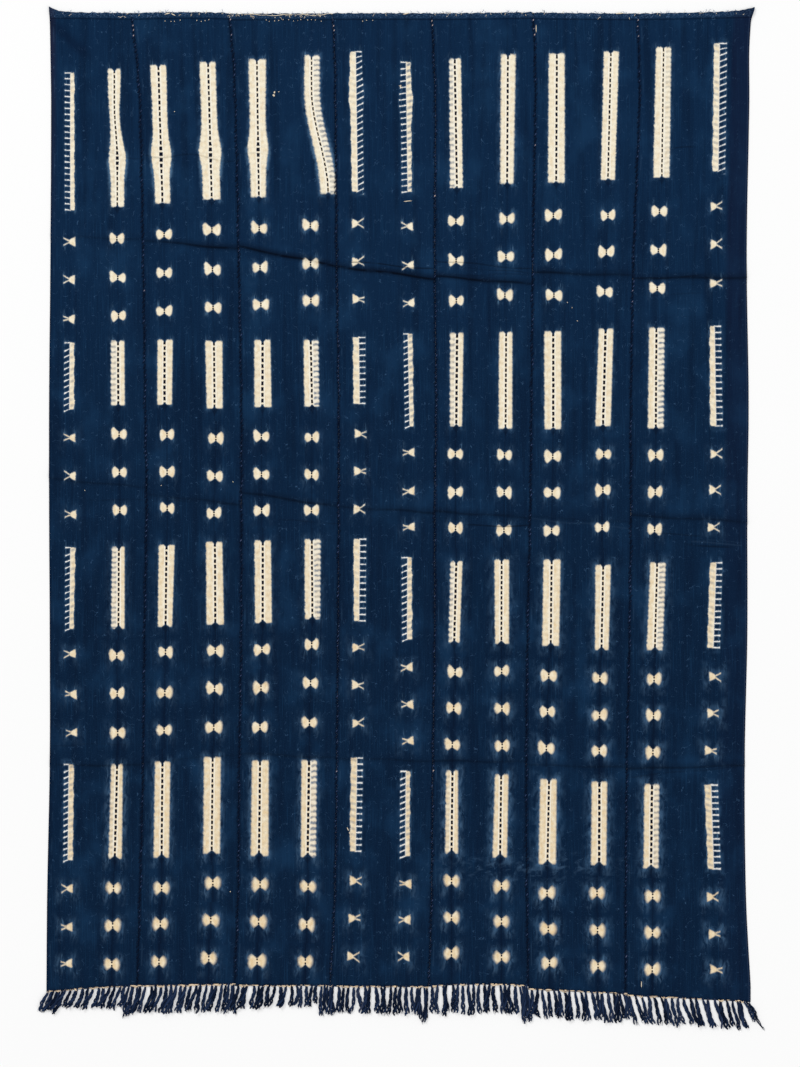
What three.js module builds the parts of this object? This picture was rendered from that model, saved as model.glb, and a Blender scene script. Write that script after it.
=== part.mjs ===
// A hand-woven cotton cloth, dyed with indigo, that lies face up on a flat surface.
// Seven narrow strips lie edge to edge, where a maker whips them together with thread.
// The cloth was stored folded, so three creases cross it, each broken at the seams.
// Along the foot every strip keeps its own row of short plied tassels.
//
// Millimetres, +Z up. X runs across the cloth and Y from the tassels to the hemmed top.
// The origin lies on the surface below, under the middle of the whole cloth.

import * as THREE from "three";

// Cloth and hem
const clothThickness = 1.5;
const selvedgeThickness = 1.9;
const selvedgeWidth = 4;
const hemThickness = 2.8;
const hemDepth = 9;
const hemStep = 1;
const pieceGap = 0.3;

// Creases and the slack between them
const foldReach = 30;
const foldRows = [-1, -0.5, -0.2, 0, 0.2, 0.5, 1];
const longestRow = 62;
const innerColumns = [0.28, 0.5, 0.72];
const crestSway = 0.2;
const crestWaves = 5;

// Ears at the hem's ends
const hemRows = 2;
const earRows = 3;
const earWidth = 16;

// Tassels
const backingDepth = 3;
const backingThickness = 2;
const strandThickness = 3;
const tipThickness = 2.2;
const strandCrown = 1.3;
const tipWidthShare = 0.82;
const strandBend = 0.35;

// Where the lines below are measured: y of each level.
const levels = {
  top: 769,
  hem: 713,
  shoulder: 635,
  firstFold: 401,
  chest: 182,
  secondFold: 15,
  waist: -173,
  thirdFold: -366,
  skirt: -573,
  foot: -707,
};

// The selvedges and seams from left to right: x at each level.
const lines = [
  { top: -535, hem: -534, shoulder: -533, firstFold: -534, chest: -536,
    secondFold: -536, waist: -535, thirdFold: -535, skirt: -539, foot: -540 },
  { top: -411, hem: -404, shoulder: -398, firstFold: -393, chest: -390,
    secondFold: -388, waist: -391, thirdFold: -393, skirt: -398, foot: -402 },
  { top: -263, hem: -257, shoulder: -253, firstFold: -248, chest: -244,
    secondFold: -244, waist: -244, thirdFold: -247, skirt: -249, foot: -254 },
  { top: -106, hem: -102, shoulder: -101, firstFold: -99, chest: -96,
    secondFold: -96, waist: -97, thirdFold: -99, skirt: -102, foot: -109 },
  { top: 45, hem: 48, shoulder: 51, firstFold: 50, chest: 52,
    secondFold: 50, waist: 50, thirdFold: 47, skirt: 45, foot: 41 },
  { top: 199, hem: 202, shoulder: 203, firstFold: 199, chest: 197,
    secondFold: 195, waist: 191, thirdFold: 189, skirt: 190, foot: 192 },
  { top: 358, hem: 360, shoulder: 361, firstFold: 352, chest: 348,
    secondFold: 348, waist: 346, thirdFold: 342, skirt: 340, foot: 340 },
  { top: 531, hem: 528, shoulder: 528, firstFold: 524, chest: 527,
    secondFold: 525, waist: 525, thirdFold: 521, skirt: 523, foot: 530 },
];

// One row a strip: y of its hemmed top and of its foot, at the left, middle and right.
const strips = [
  { topLeft: 771.5, topMiddle: 771, topRight: 770,
    footLeft: -717.5, footMiddle: -712, footRight: -708.5, colour: 0x12294c },
  { topLeft: 770, topMiddle: 771.5, topRight: 770.5,
    footLeft: -709, footMiddle: -707.5, footRight: -706, colour: 0x122848 },
  { topLeft: 769, topMiddle: 769.5, topRight: 769.5,
    footLeft: -708, footMiddle: -708, footRight: -708, colour: 0x11294d },
  { topLeft: 770, topMiddle: 770, topRight: 770,
    footLeft: -709, footMiddle: -709.5, footRight: -710, colour: 0x112748 },
  { topLeft: 769.5, topMiddle: 770.5, topRight: 771.5,
    footLeft: -709, footMiddle: -706, footRight: -708.5, colour: 0x10274b },
  { topLeft: 771, topMiddle: 770, topRight: 769.5,
    footLeft: -713.5, footMiddle: -717, footRight: -720.5, colour: 0x112547 },
  { topLeft: 769.5, topMiddle: 771, topRight: 773,
    footLeft: -723, footMiddle: -727.5, footRight: -732.5, colour: 0x121e3c },
];

// The rolled hem ends in a small ear at each top corner of the cloth.
const ears = {
  left: { strip: 0, up: 7, out: 1, lift: 2.5 },
  right: { strip: 6, up: 4, out: 5, lift: 2 },
};

// The creases, top to bottom: y at each strip's left and right edge, and the crest's rise.
const folds = [
  { strip: 0, left: 432, right: 427, rise: 2.6 },
  { strip: 1, left: 426, right: 412, rise: 3.2 },
  { strip: 2, left: 416, right: 386, rise: 3.6 },
  { strip: 3, left: 386, right: 367, rise: 3.4 },
  { strip: 4, left: 371, right: 359, rise: 3.0 },
  { strip: 5, left: 377, right: 372, rise: 2.8 },
  { strip: 6, left: 368, right: 369, rise: 3.4 },
  { strip: 0, left: 64, right: 50, rise: 3.2 },
  { strip: 1, left: 40, right: 24, rise: 2.2 },
  { strip: 2, left: 43, right: 21, rise: 3.0 },
  { strip: 3, left: 21, right: 12, rise: 3.4 },
  { strip: 4, left: 14, right: 4, rise: 3.2 },
  { strip: 5, left: 6, right: -3, rise: 2.6 },
  { strip: 6, left: 8, right: -2, rise: 3.6 },
  { strip: 0, left: -371, right: -372, rise: 3.4 },
  { strip: 1, left: -368, right: -354, rise: 1.8 },
  { strip: 2, left: -353, right: -361, rise: 3.0 },
  { strip: 3, left: -361, right: -365, rise: 3.2 },
  { strip: 4, left: -365, right: -366, rise: 3.0 },
  { strip: 5, left: -371, right: -375, rise: 2.2 },
  { strip: 6, left: -377, right: -372, rise: 3.4 },
];

// Broad places where the slack cloth stands a little off the surface.
const swells = [
  { strip: 0, at: 575, reach: 90, rise: 1.6 },
  { strip: 0, at: -560, reach: 80, rise: 1.8 },
  { strip: 1, at: 210, reach: 110, rise: 1.4 },
  { strip: 2, at: 545, reach: 70, rise: 1.8 },
  { strip: 2, at: -170, reach: 90, rise: 1.5 },
  { strip: 4, at: 520, reach: 100, rise: 1.5 },
  { strip: 4, at: -560, reach: 70, rise: 1.2 },
  { strip: 5, at: 170, reach: 90, rise: 1.7 },
  { strip: 6, at: 560, reach: 80, rise: 1.3 },
  { strip: 6, at: -180, reach: 110, rise: 1.9 },
];

// One row a strip: its tassels, where their tips lie, and how far they lean there.
const fringes = [
  { count: 11, tipLeft: -739, tipRight: -744, leanLeft: -6.5, leanRight: -8.5 },
  { count: 16, tipLeft: -748, tipRight: -745, leanLeft: -6.5, leanRight: -6 },
  { count: 15, tipLeft: -742, tipRight: -736, leanLeft: -6, leanRight: -1 },
  { count: 16, tipLeft: -747, tipRight: -751, leanLeft: -0.5, leanRight: 0 },
  { count: 16, tipLeft: -748, tipRight: -749, leanLeft: 0.5, leanRight: 2 },
  { count: 15, tipLeft: -754, tipRight: -762, leanLeft: 3, leanRight: 6 },
  { count: 17, tipLeft: -763, tipRight: -771, leanLeft: 7, leanRight: 11 },
];
const strandWidth = 5.8;
const strandSway = 0.6;
const tipSway = 1.8;

// The longer tufts at the seams and at both corners, with the loose end at the right one.
const tufts = [
  { strip: 0, rootX: -527.5, rootWidth: 21, tipX: -538.5, tipWidth: 21, tipY: -752 },
  { strip: 0, rootX: -407, rootWidth: 9, tipX: -416, tipWidth: 10, tipY: -757 },
  { strip: 1, rootX: -259, rootWidth: 9, tipX: -265, tipWidth: 9, tipY: -754 },
  { strip: 2, rootX: -114, rootWidth: 9, tipX: -114, tipWidth: 10, tipY: -757 },
  { strip: 3, rootX: 36, rootWidth: 9, tipX: 36, tipWidth: 9, tipY: -766 },
  { strip: 4, rootX: 187, rootWidth: 9, tipX: 191, tipWidth: 9, tipY: -764.5 },
  { strip: 5, rootX: 335, rootWidth: 9, tipX: 341, tipWidth: 10, tipY: -768 },
  { strip: 6, rootX: 511, rootWidth: 8, tipX: 523.5, tipWidth: 6, tipY: -778.5 },
  { strip: 6, rootX: 520, rootWidth: 6, tipX: 536, tipWidth: 6, tipY: -764 },
  { strip: 6, rootX: 527, rootWidth: 2.8, tipX: 547.5, tipWidth: 2.4, tipY: -773 },
];

// What differs from strand to strand, from -1 to 1: a sine with a long odd step.
const strandStep = 12.9;
const kindStep = 4.7;
const uneven = (index, kind) => Math.sin(index * strandStep + kind * kindStep);

const mix = THREE.MathUtils.lerp;

// A line through a left, a middle and a right value.
function bowed(left, middle, right, u) {
  return left * (1 - u) * (1 - 2 * u) + middle * 4 * u * (1 - u) + right * u * (2 * u - 1);
}

// The x of a seam or selvedge at a height, on a smooth curve through its row of the table.
const climbing = Object.keys(levels).reverse();
const seams = lines.map((line) => new THREE.CubicInterpolant(
  climbing.map((level) => levels[level]),
  climbing.map((level) => line[level]),
  1,
));
const seamX = (index, y) => seams[index].evaluate(y)[0];

// A thin solid from stations, each with a point under and a point over. A cell is a ring of
// four stations, counterclockwise from above, and the cells' outer edges get walls.
function slab(stations, cells) {
  const count = stations.length;
  const points = [...stations.map((s) => s.under), ...stations.map((s) => s.over)];
  const faces = [];
  const addQuad = (a, b, c, d) => faces.push(a, b, c, a, c, d);
  const inner = new Set(cells.flatMap((ring) => ring.map((a, i) => `${ring[(i + 1) % 4]} ${a}`)));
  for (const ring of cells) {
    const [a, b, c, d] = ring;
    addQuad(a + count, b + count, c + count, d + count);
    addQuad(a, d, c, b);
    ring.forEach((from, i) => {
      const to = ring[(i + 1) % 4];
      if (!inner.has(`${from} ${to}`)) addQuad(from, to, to + count, from + count);
    });
  }
  return new THREE.BufferGeometry().setFromPoints(points).setIndex(faces).toNonIndexed();
}

// A strip of cloth

function topY(strip, u) {
  return bowed(strip.topLeft, strip.topMiddle, strip.topRight, u);
}

function footY(strip, u) {
  return bowed(strip.footLeft, strip.footMiddle, strip.footRight, u);
}

// The rows of a strip at one column: its hem, each crease and its flanks, and the flat between.
function rowHeights(index, u) {
  const top = topY(strips[index], u);
  const creases = folds.filter((fold) => fold.strip === index);
  return [
    top,
    top - hemDepth,
    top - hemDepth - hemStep,
    ...creases.flatMap((fold) => foldRows.map((share) =>
      mix(fold.left, fold.right, u) - share * foldReach
    )),
    footY(strips[index], u),
  ];
}

// How far the cloth stands off the surface: pointed along a crease, round over a swell.
function clothLift(index, u, y) {
  const along = folds.filter((fold) => fold.strip === index).map((fold) => {
    const away = Math.abs(y - mix(fold.left, fold.right, u)) / foldReach;
    const rise = fold.rise * (1 - crestSway + crestSway * Math.sin(crestWaves * u + fold.left));
    return rise * Math.max(0, 1 - away) ** 2;
  });
  const across = swells.filter((swell) => swell.strip === index).map((swell) => {
    const away = Math.abs(y - swell.at) / swell.reach;
    return swell.rise * Math.sin(Math.PI * u) * Math.max(0, 1 - away * away) ** 2;
  });
  return [...along, ...across].reduce((sum, rise) => sum + rise, 0);
}

// The corner of the hem that turns outwards: 1 at its tip, 0 from one ear's width away.
function earShare(ear, index, fromEdge, row) {
  if (ear.strip !== index || row >= earRows) return 0;
  return Math.max(0, 1 - fromEdge / earWidth) * (1 - row / earRows);
}

// The columns of a strip, as shares of its width: denser where a selvedge or an ear needs it.
function columnShares(index, width) {
  const selvedge = selvedgeWidth / width;
  const ear = earWidth / width;
  const atLeft = index === ears.left.strip ? [ear] : [];
  const atRight = index === ears.right.strip ? [1 - ear] : [];
  return [0, selvedge, ...atLeft, ...innerColumns, ...atRight, 1 - selvedge, 1];
}

function clothThicknessAt(row, isSelvedge) {
  if (row < hemRows) return hemThickness;
  return isSelvedge ? selvedgeThickness : clothThickness;
}

function clothStrip(index) {
  const width = seamX(index + 1, 0) - seamX(index, 0);
  const columns = columnShares(index, width);
  const middle = rowHeights(index, 0.5);
  const parts = middle.slice(1).map((y, i) => Math.ceil((middle[i] - y) / longestRow));
  const heights = columns.map((u) => {
    const rows = rowHeights(index, u);
    const between = rows.slice(1).flatMap((y, i) =>
      Array.from({ length: parts[i] }, (_, k) => mix(rows[i], y, k / parts[i]))
    );
    return [...between, rows[rows.length - 1]];
  });

  const station = (u, y, row, thickness) => {
    const left = seamX(index, y) + pieceGap / 2;
    const right = seamX(index + 1, y) - pieceGap / 2;
    const leftEar = earShare(ears.left, index, u * width, row);
    const rightEar = earShare(ears.right, index, (1 - u) * width, row);
    const x = mix(left, right, u) - leftEar * ears.left.out + rightEar * ears.right.out;
    const upY = y + leftEar * ears.left.up + rightEar * ears.right.up;
    const z = clothLift(index, u, y) + leftEar * ears.left.lift + rightEar * ears.right.lift;
    return {
      under: new THREE.Vector3(x, upY, z),
      over: new THREE.Vector3(x, upY, z + thickness),
    };
  };

  const stations = [];
  const cells = [];
  heights[0].forEach((_, row) => {
    columns.forEach((u, column) => {
      const isSelvedge = column === 0 || column === columns.length - 1;
      stations.push(station(u, heights[column][row], row, clothThicknessAt(row, isSelvedge)));
      if (row === 0 || column === 0) return;
      const lower = row * columns.length + column;
      const upper = lower - columns.length;
      cells.push([lower - 1, lower, upper, upper - 1]);
    });
  });
  return slab(stations, cells);
}

// A strip's tassels

function fringeEnds(index) {
  return {
    left: seamX(index, strips[index].footLeft) + pieceGap / 2,
    right: seamX(index + 1, strips[index].footRight) - pieceGap / 2,
  };
}

// The strands of a strip from left to right: its even tassels fill the place beside its tufts.
function strandRows(index) {
  const fringe = fringes[index];
  const own = tufts.filter((tuft) => tuft.strip === index);
  const ends = fringeEnds(index);
  const middle = (ends.left + ends.right) / 2;
  const before = own.filter((tuft) => tuft.rootX < middle);
  const after = own.filter((tuft) => tuft.rootX > middle);
  const from = Math.max(ends.left, ...before.map((tuft) => tuft.rootX + tuft.rootWidth / 2));
  const to = Math.min(...after.map((tuft) => tuft.rootX - tuft.rootWidth / 2));
  const tassels = Array.from({ length: fringe.count }, (_, i) => {
    const u = (i + 0.5) / fringe.count;
    const rootX = mix(from, to, u) + uneven(i, index) * strandSway;
    return {
      rootX,
      rootWidth: strandWidth,
      tipX: rootX + mix(fringe.leanLeft, fringe.leanRight, u) + uneven(i, index + 3) * strandSway,
      tipWidth: strandWidth * tipWidthShare,
      tipY: mix(fringe.tipLeft, fringe.tipRight, u) + uneven(i, index + 7) * tipSway,
    };
  });
  return [...before, ...tassels, ...after];
}

function tasselRow(index) {
  const { left, right } = fringeEnds(index);
  const edgeY = (x) => footY(strips[index], (x - left) / (right - left)) - pieceGap;

  const stations = [];
  const cells = [];
  // A station: its place on the surface, its height, and how far its top is drawn in sideways.
  const addStation = (x, y, height, inset = 0) => {
    stations.push({
      under: new THREE.Vector3(x, y, 0),
      over: new THREE.Vector3(x + inset, y, height),
    });
    return stations.length - 1;
  };
  const addPair = (x, inset) => ({
    upper: addStation(x, edgeY(x), backingThickness),
    lower: addStation(x, edgeY(x) - backingDepth, backingThickness, inset),
  });

  let before = addPair(left, 0);
  const addBacking = (pair) => {
    cells.push([before.lower, pair.lower, pair.upper, before.upper]);
    before = pair;
  };
  for (const strand of strandRows(index)) {
    const rootHalf = strand.rootWidth / 2;
    const middleHalf = (strand.rootWidth + strand.tipWidth) / 4;
    const tipHalf = strand.tipWidth / 2;
    const middleX = mix(strand.rootX, strand.tipX, strandBend);
    const middleY = mix(edgeY(strand.rootX) - backingDepth, strand.tipY, 0.5);
    const crown = Math.min(strandCrown, tipHalf / 2);
    const rootLeft = addPair(strand.rootX - rootHalf, crown);
    const rootRight = addPair(strand.rootX + rootHalf, -crown);
    const addAcross = (x, y, half, height) => [
      addStation(x - half, y, height, crown),
      addStation(x + half, y, height, -crown),
    ];
    const [middleLeft, middleRight] = addAcross(middleX, middleY, middleHalf, strandThickness);
    const [tipLeft, tipRight] = addAcross(strand.tipX, strand.tipY, tipHalf, tipThickness);
    addBacking(rootLeft);
    addBacking(rootRight);
    cells.push([middleLeft, middleRight, rootRight.lower, rootLeft.lower]);
    cells.push([tipLeft, tipRight, middleRight, middleLeft]);
  }
  addBacking(addPair(right, 0));
  return slab(stations, cells);
}

// The whole cloth

const tasselColour = 0x141f3c;
const yarnRoughness = 0.93;

function addPiece(group, name, geometry, color) {
  geometry.computeVertexNormals();
  const material = new THREE.MeshStandardMaterial({ color, roughness: yarnRoughness, metalness: 0 });
  const piece = new THREE.Mesh(geometry, material);
  piece.name = name;
  group.add(piece);
}

const cloth = new THREE.Group();
strips.forEach((strip, index) => {
  addPiece(cloth, `strip_${index + 1}`, clothStrip(index), strip.colour);
  addPiece(cloth, `fringe_${index + 1}`, tasselRow(index), tasselColour);
});

export default cloth;
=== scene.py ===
import bpy
import numpy as np
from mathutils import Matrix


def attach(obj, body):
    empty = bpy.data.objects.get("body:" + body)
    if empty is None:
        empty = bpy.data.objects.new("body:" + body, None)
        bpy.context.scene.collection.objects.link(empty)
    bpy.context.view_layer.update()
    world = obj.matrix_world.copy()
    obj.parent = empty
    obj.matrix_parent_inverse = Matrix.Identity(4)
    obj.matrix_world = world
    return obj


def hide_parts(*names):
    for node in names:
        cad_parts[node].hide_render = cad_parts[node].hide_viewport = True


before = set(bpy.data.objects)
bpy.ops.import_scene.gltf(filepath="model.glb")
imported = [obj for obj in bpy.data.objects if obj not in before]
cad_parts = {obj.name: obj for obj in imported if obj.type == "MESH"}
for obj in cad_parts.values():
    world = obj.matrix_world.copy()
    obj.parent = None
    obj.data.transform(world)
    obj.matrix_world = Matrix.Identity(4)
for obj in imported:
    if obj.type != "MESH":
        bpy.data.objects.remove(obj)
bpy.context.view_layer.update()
chance = np.random.default_rng(14)


# The seven woven strips
# Each is a band of hand-spun cotton in plain weave, about 150 mm wide and 1.48 m long, from a narrow
# loom. They lie side by side, sewn along their selvedges, with a rolled raw hem at the top. The cloth
# was folded for long, so three sharp creases cross it, and it was dyed in indigo as one piece.

MM = 0.001
# The heights at which the seams are given, and then each seam's place across at those heights, from
# the left selvedge to the right one, in millimetres.
LEVELS = np.array([769.0, 713, 635, 401, 182, 15, -173, -366, -573, -707])
SEAM_LINES = np.array([
    [-535.0, -534, -533, -534, -536, -536, -535, -535, -539, -540],
    [-411, -404, -398, -393, -390, -388, -391, -393, -398, -402],
    [-263, -257, -253, -248, -244, -244, -244, -247, -249, -254],
    [-106, -102, -101, -99, -96, -96, -97, -99, -102, -109],
    [45, 48, 51, 50, 52, 50, 50, 47, 45, 41],
    [199, 202, 203, 199, 197, 195, 191, 189, 190, 192],
    [358, 360, 361, 352, 348, 348, 346, 342, 340, 340],
    [531, 528, 528, 524, 527, 525, 525, 521, 523, 530],
])
# The height of each strip's top and of its foot, at its left, middle and right.
STRIP_TOPS = [
    (771.5, 771, 770), (770, 771.5, 770.5), (769, 769.5, 769.5), (770, 770, 770),
    (769.5, 770.5, 771.5), (771, 770, 769.5), (769.5, 771, 773),
]
STRIP_FEET = [
    (-717.5, -712, -708.5), (-709, -707.5, -706), (-708, -708, -708), (-709, -709.5, -710),
    (-709, -706, -708.5), (-713.5, -717, -720.5), (-723, -727.5, -732.5),
]
# The three sharp creases. For each strip: height at left and right, rise, and how dark the painted shade
# along it is at left, middle and right.
CREASES = [
    [(432, 427, 2.2, 0, 0.15, 0.25), (426, 412, 2.8, 0.2, 0.6, 0.9), (416, 386, 3.4, 0.6, 1.0, 0.8),
     (386, 367, 3.2, 0.7, 1.0, 0.8), (371, 359, 2.8, 0.7, 0.8, 0.5), (377, 372, 2.4, 0.5, 0.6, 0.4),
     (368, 369, 2.8, 0.3, 0.7, 0.5)],
    [(64, 50, 2.4, 0.1, 0.25, 0.1), (40, 24, 1.6, 0.1, 0.25, 0.3), (43, 21, 2.4, 0.3, 0.5, 0.3),
     (21, 12, 2.4, 0.2, 0.35, 0.4), (14, 4, 2.4, 0.4, 0.35, 0.2), (6, -3, 1.8, 0.1, 0.15, 0.2),
     (8, -2, 2.6, 0.4, 0.5, 0.3)],
    [(-371, -372, 2.4, 0.1, 0.3, 0.2), (-368, -354, 1.4, 0.1, 0.1, 0.1), (-353, -361, 2.0, 0.15, 0.2, 0.2),
     (-361, -365, 2.2, 0.2, 0.2, 0.2), (-365, -366, 2.2, 0.3, 0.3, 0.1), (-371, -375, 1.8, 0.2, 0.3, 0.4),
     (-377, -372, 2.6, 0.6, 0.5, 0.4)],
]
# Slack places: the strip, the height of the middle, how far it reaches and how far it rises.
SWELLS = [
    (0, 575, 90, 1.6), (0, -560, 80, 1.8), (1, 210, 110, 1.4), (2, 545, 70, 1.8), (2, -170, 90, 1.5),
    (4, 520, 100, 1.5), (4, -560, 70, 1.2), (5, 170, 90, 1.7), (6, 560, 80, 1.3), (6, -180, 110, 1.9),
]
CLOTH_THICKNESS = 1.4
HEM_THICKNESS = 2.8
HEM_DEPTH = 9.0
GAP = 0.02
COLUMN_STEP = 4.3
EDGE_MARGIN = 8
# The curled top corners of the outer strips reach up and out by these millimetres.
EARS = {0: (8.5, -1.0), 6: (6.0, 5.0)}


def seam_place(line, heights):
    """How far across a seam is at those heights.

    Formula: between two levels, with s from 0 to 1, x = x0 (2s^3 - 3s^2 + 1) + x1 (3s^2 - 2s^3)
    + span m0 (s^3 - 2s^2 + s) + span m1 (s^3 - s^2), with each slope m that of its two neighbours.
    """
    level = LEVELS[::-1]
    place = line[::-1]
    slope = np.empty(len(level))
    slope[1:-1] = (place[2:] - place[:-2]) / (level[2:] - level[:-2])
    slope[0] = (place[1] - place[0]) / (level[1] - level[0])
    slope[-1] = (place[-1] - place[-2]) / (level[-1] - level[-2])
    held = np.clip(heights, level[0], level[-1])
    k = np.clip(np.searchsorted(level, held) - 1, 0, len(level) - 2)
    span = level[k + 1] - level[k]
    s = (held - level[k]) / span
    ends = place[k] * (2 * s**3 - 3 * s**2 + 1) + place[k + 1] * (3 * s**2 - 2 * s**3)
    return ends + span * (slope[k] * (s**3 - 2 * s**2 + s) + slope[k + 1] * (s**3 - s**2))


def seams_beside(strip, heights):
    """Where the seams to the left and right of a strip are at those heights."""
    return seam_place(SEAM_LINES[strip], heights), seam_place(SEAM_LINES[strip + 1], heights)


def hump(value, middle, reach):
    """A bell curve, 1 at the middle: exp(-((value - middle) / reach)^2)."""
    return np.exp(-((value - middle) / reach) ** 2)


def ease(value, start, end):
    """A smooth step from 0 at start to 1 at end: s^2 (3 - 2s)."""
    s = np.clip((value - start) / (end - start), 0, 1)
    return s * s * (3 - 2 * s)


def bowed(ends, u):
    """A line bowed through its left, middle and right heights.

    Formula: y = left (1-u)(1-2u) + 4 middle u(1-u) + right u(2u-1), with u from 0 to 1 across the strip.
    """
    left, middle, right = ends
    return left * (1 - u) * (1 - 2 * u) + 4 * middle * u * (1 - u) + right * u * (2 * u - 1)


def crease_height(crease, u):
    """Height of a crease line across its strip: a straight run with a slight wave.

    Formula: y = left + (right - left) u + 0.9 sin(9u + left).
    """
    left, right = crease[:2]
    return left + (right - left) * u + 0.9 * np.sin(9 * u + left)


def cloth_lift(strip, u, y):
    """How far the strip's underside stands off the floor.

    Formula: each crease is a ridge, rise exp(-d/13) above its line and rise exp(-d/3.5) below it.
    Each slack place is rise sin(pi u) (1 - (d/reach)^2)^2. The top corners of the outer strips curl up.
    """
    lift = np.zeros_like(y)
    for row in CREASES:
        away = y - crease_height(row[strip], u)
        rise = row[strip][2] * (0.8 + 0.2 * np.sin(5 * u + row[strip][0]))
        lift += rise * np.where(away > 0, np.exp(-away / 13), np.exp(away / 3.5))
    for own, middle, reach, rise in SWELLS:
        if own == strip:
            near = np.maximum(0, 1 - ((y - middle) / reach) ** 2)
            lift += rise * np.sin(np.pi * u) * near**2
    corner = {0: u, 6: 1 - u}.get(strip)
    if corner is not None:
        lift += 2.2 * np.exp(-corner * 8) * np.clip((y - 735) / 36, 0, 1) ** 2
    puckers = np.sin(y / 23 + 3 * strip) * np.sin(u * 9 + y / 61) + np.sin(y / 9.5 + 5 * u) * 0.4
    return lift + 0.16 * (1.4 + puckers)


def strip_rows(strip, u):
    """Heights of the mesh rows, from the hem to the foot: close together at the hem and the creases."""
    top = bowed(STRIP_TOPS[strip], u)
    foot = bowed(STRIP_FEET[strip], u)
    marks = [(top, 0.0, 1.0), (top - 13, 0.0, 1.1)]
    for row in CREASES:
        line = crease_height(row[strip], u)
        marks += [(line + 14, 0.0, 4.0), (line - 10, 0.0, 1.2)]
    marks += [(foot + 6, 0.0, 4.0), (foot, 0.0, 1.5)]
    heights = [top[None, :]]
    for (start, _, _), (end, _, step) in zip(marks, marks[1:]):
        count = max(2, int(round(np.mean(start - end) / step)))
        share = (np.arange(1, count + 1) / count)[:, None]
        heights.append(start[None, :] * (1 - share) + end[None, :] * share)
    return np.concatenate(heights)


def strip_surface(strip):
    """Upper and lower surface of one strip as two grids of points in millimetres.

    Formula: x runs from seam to seam, z_low is cloth_lift, and z_high = z_low + thickness, with a
    rounded hem at the top, a thicker selvedge at the sides and edges rounded off.
    """
    width = SEAM_LINES[strip + 1][3] - SEAM_LINES[strip][3]
    edge = np.array([0, 0.5, 1.3, 2.6, 4.2]) / width
    margin = EDGE_MARGIN / width
    u = np.concatenate([edge, np.linspace(margin, 1 - margin, int(width / COLUMN_STEP)), 1 - edge[::-1]])
    y = strip_rows(strip, u)
    left, right = seams_beside(strip, y)
    left = left + GAP
    right = right - GAP
    across = np.broadcast_to(u, y.shape)
    x = left + (right - left) * across
    low = cloth_lift(strip, across, y)
    from_top = y[:1] - y
    near_top = 1 - ease(from_top, 0, 16)
    if strip in EARS:
        up, out = EARS[strip]
        corner = np.exp(-(across if strip == 0 else 1 - across) * 11) * near_top
        y = y + up * corner
        x = x + out * corner
    y = y + near_top * (0.5 * np.sin(x / 1.9) * np.sin(x / 7.3) + 0.4 * np.sin(x / 3.1 + 2))
    from_side = np.minimum(across, 1 - across) * (right - left)
    hem = np.clip(1 - ((from_top - HEM_DEPTH / 2) / (HEM_DEPTH / 2)) ** 4, 0, 1) ** 0.5
    thick = CLOTH_THICKNESS + (HEM_THICKNESS - CLOTH_THICKNESS) * hem
    thick += 0.35 * hump(from_side, 2, 1.6) * (1 - hem)
    thick -= 0.5 * np.exp(-from_side / 0.5)
    thick -= 0.45 * np.exp(-(y - y[-1:]) / 1.2)
    pulled = 0.22 * np.sin(y * 2 * np.pi / 8) * np.exp(-from_side / 3)
    high = low + thick + pulled * (1 - hem)
    return np.stack([x, y, low], -1), np.stack([x, y, high], -1), across


def put_mesh(name, points, face_groups):
    """A mesh object from points in millimetres and groups of faces, each a table of corner numbers."""
    mesh = bpy.data.meshes.new(name)
    corners = np.concatenate([group.reshape(-1) for group in face_groups]).astype(np.int32)
    sides = np.concatenate([np.full(len(group), group.shape[1]) for group in face_groups])
    starts = np.concatenate([[0], np.cumsum(sides)[:-1]]).astype(np.int32)
    mesh.vertices.add(len(points))
    mesh.vertices.foreach_set("co", (points * MM).astype(np.float32).reshape(-1))
    mesh.loops.add(len(corners))
    mesh.loops.foreach_set("vertex_index", corners)
    mesh.polygons.add(len(sides))
    mesh.polygons.foreach_set("loop_start", starts)
    mesh.update(calc_edges=True)
    mesh.validate()
    mesh.shade_smooth()
    piece = bpy.data.objects.new(name, mesh)
    bpy.context.scene.collection.objects.link(piece)
    return piece


def closed_sheet(low, high):
    """Points and faces of a sheet closed all round, from its lower and upper grids."""
    rows, columns = low.shape[:2]
    number = np.arange(rows * columns).reshape(rows, columns)
    over = number + rows * columns
    top_faces = np.stack([over[:-1, :-1], over[1:, :-1], over[1:, 1:], over[:-1, 1:]], -1).reshape(-1, 4)
    under_faces = np.stack([number[:-1, :-1], number[:-1, 1:], number[1:, 1:], number[1:, :-1]], -1)
    rims = [
        np.stack([over[:-1, 0], number[:-1, 0], number[1:, 0], over[1:, 0]], -1),
        np.stack([over[1:, -1], number[1:, -1], number[:-1, -1], over[:-1, -1]], -1),
        np.stack([over[0, 1:], number[0, 1:], number[0, :-1], over[0, :-1]], -1),
        np.stack([over[-1, :-1], number[-1, :-1], number[-1, 1:], over[-1, 1:]], -1),
    ]
    points = np.concatenate([low.reshape(-1, 3), high.reshape(-1, 3)])
    return points, [top_faces, under_faces.reshape(-1, 4), *rims]


# The stitched pattern
# Before the dyeing, long bars and small bows were pleated and oversewn with raffia, which kept the dye
# out. Each strip has two columns of them: four long bars, and three small marks after each bar. The
# columns beside some seams have a bar with teeth on one side, and marks like a K instead of a bow.

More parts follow.
